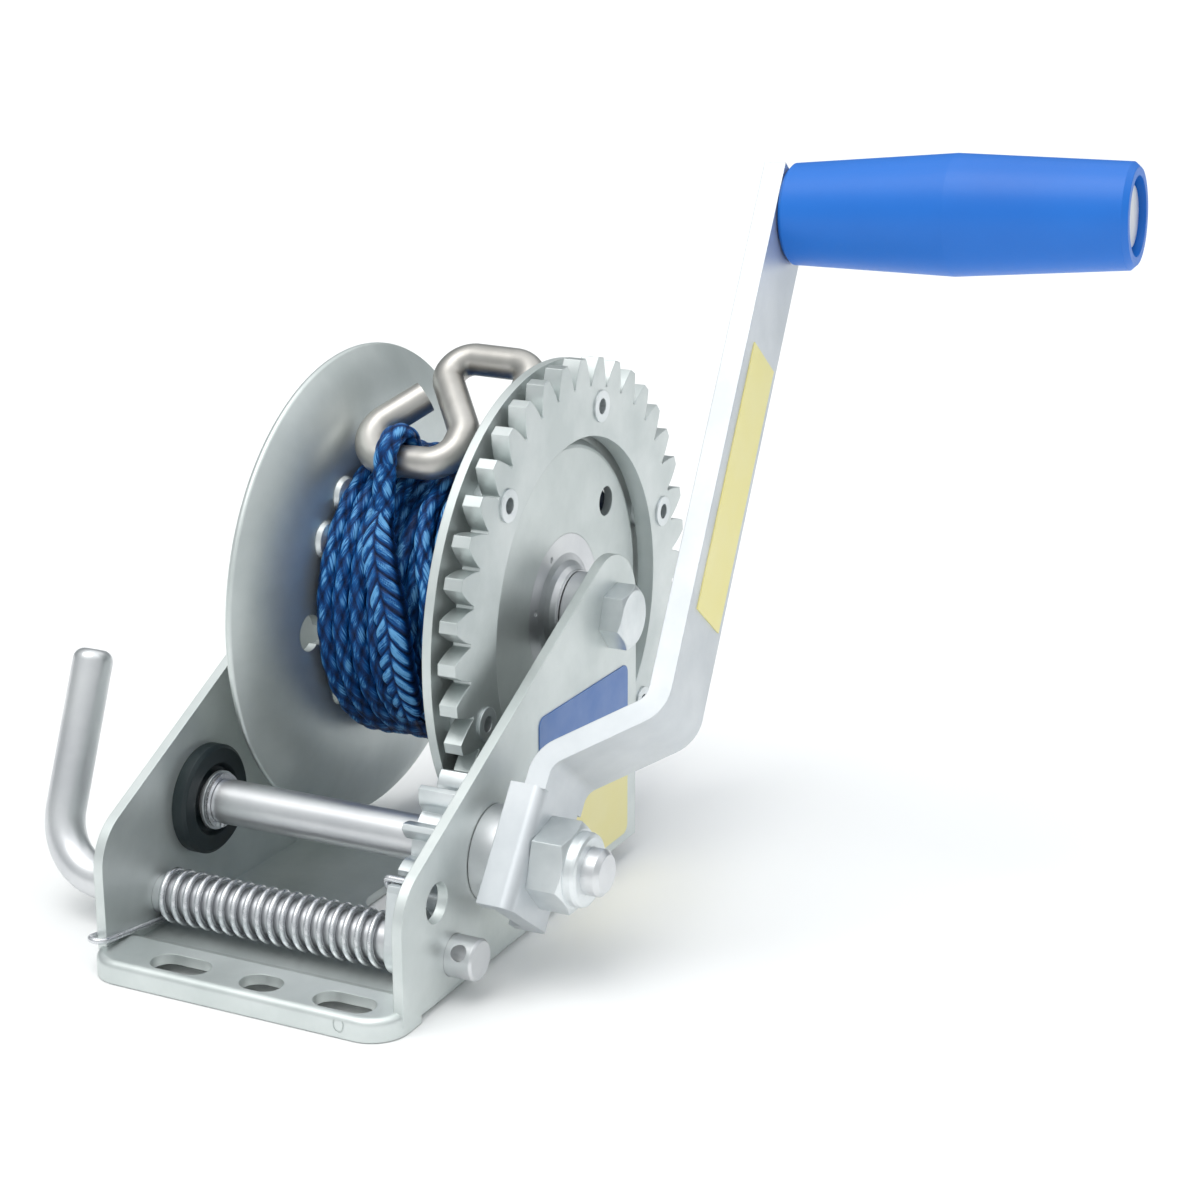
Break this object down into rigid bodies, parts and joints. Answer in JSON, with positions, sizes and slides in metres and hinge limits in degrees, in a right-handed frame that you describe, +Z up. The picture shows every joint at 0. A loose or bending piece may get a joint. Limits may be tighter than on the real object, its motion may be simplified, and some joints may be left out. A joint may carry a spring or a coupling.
{
  "type": "boat trailer winch",
  "caption": "Hand-cranked trailer winch: folded steel frame, geared rope drum with S-hook, sprung ratchet pawl with lever, and offset crank with rotating grip.",
  "frame": {"origin": "on the floor's underside, midway between the side plates, straight below the pawl shaft", "axes": "+X along the drum axle towards the crank, +Y from the slotted front lip to the back, +Z up"},
  "size_m": [0.2126, 0.1592, 0.1652],
  "materials": {
    "galvanised_sheet": "satin zinc-plated sheet",
    "galvanised_gear": "satin zinc-plated plate",
    "zinc_turned": "zinc-plated bar, faint turning lines",
    "zinc_fastener": "zinc-plated, slightly mottled",
    "spring_wire": "bright drawn wire",
    "stainless_hook": "tumbled stainless, warm grey",
    "bronze_bush": "oiled bronze",
    "black_nylon": "moulded nylon",
    "nylon_insert": "natural nylon",
    "blue_grip": "satin moulded plastic",
    "blue_rope": "braided polyester-type rope",
    "blue_label": "blank blue and yellow film label",
    "yellow_label": "blank yellow film label"
  },
  "bodies": {
    "frame": {"frame": "galvanised_sheet", "axle_bolt": "zinc_fastener", "axle_nut": "zinc_fastener", "axle_tube": "zinc_turned", "axle_spacers": "zinc_turned", "shaft_bush_left": "black_nylon", "shaft_bush_right": "black_nylon", "side_label": "blue_label", "pawl_spring": "spring_wire"},
    "drum": {"drum_left_flange": "galvanised_sheet", "drum_right_flange": "galvanised_sheet", "drum_barrel": "zinc_turned", "drum_hubs": "zinc_turned", "hub_bushes": "bronze_bush", "drum_gear": "galvanised_gear", "gear_rivets": "zinc_fastener", "rope_clamp": "galvanised_sheet", "clamp_bolts": "zinc_fastener", "clamp_nuts": "zinc_fastener", "rope_pack": "blue_rope", "rope_eye": "blue_rope", "s_hook": "stainless_hook"},
    "drive": {"pinion_shaft": "zinc_turned", "pinion": "zinc_fastener", "shaft_circlip": "spring_wire", "shaft_washer": "zinc_fastener", "shaft_collar": "zinc_turned", "crank_arm": "galvanised_gear", "crank_nut": "zinc_fastener", "nut_insert": "nylon_insert", "grip_spindle": "zinc_turned", "crank_label": "yellow_label"},
    "grip": {"grip": "blue_grip"},
    "pawl_lever": {"pawl_shaft": "zinc_turned", "pawl": "zinc_fastener"}
  },
  "joints": [
    {"name": "drum_spin", "type": "hinge", "parent": "frame", "child": "drum", "pos_m": [0, 0.075, 0.062], "axis": [1, 0, 0], "continuous": true},
    {"name": "crank_spin", "type": "hinge", "parent": "frame", "child": "drive", "pos_m": [0, 0.0165, 0.0259], "axis": [1, 0, 0], "continuous": true},
    {"name": "grip_spin", "type": "hinge", "parent": "drive", "child": "grip", "pos_m": [0.06561, 0.10886, 0.15026], "axis": [0.9985, 0.0322, 0.0434], "continuous": true},
    {"name": "pawl_release", "type": "hinge", "parent": "frame", "child": "pawl_lever", "pos_m": [0, 0, 0.0093], "axis": [1, 0, 0], "range_deg": [-8, 28], "stiffness_Nm_per_rad": 0.12, "springref_deg": -34.38, "deforming": ["pawl_spring"]}
  ],
  "couplings": [
    {"joint": "crank_spin", "follows": "drum_spin", "ratio": -4}
  ]
}
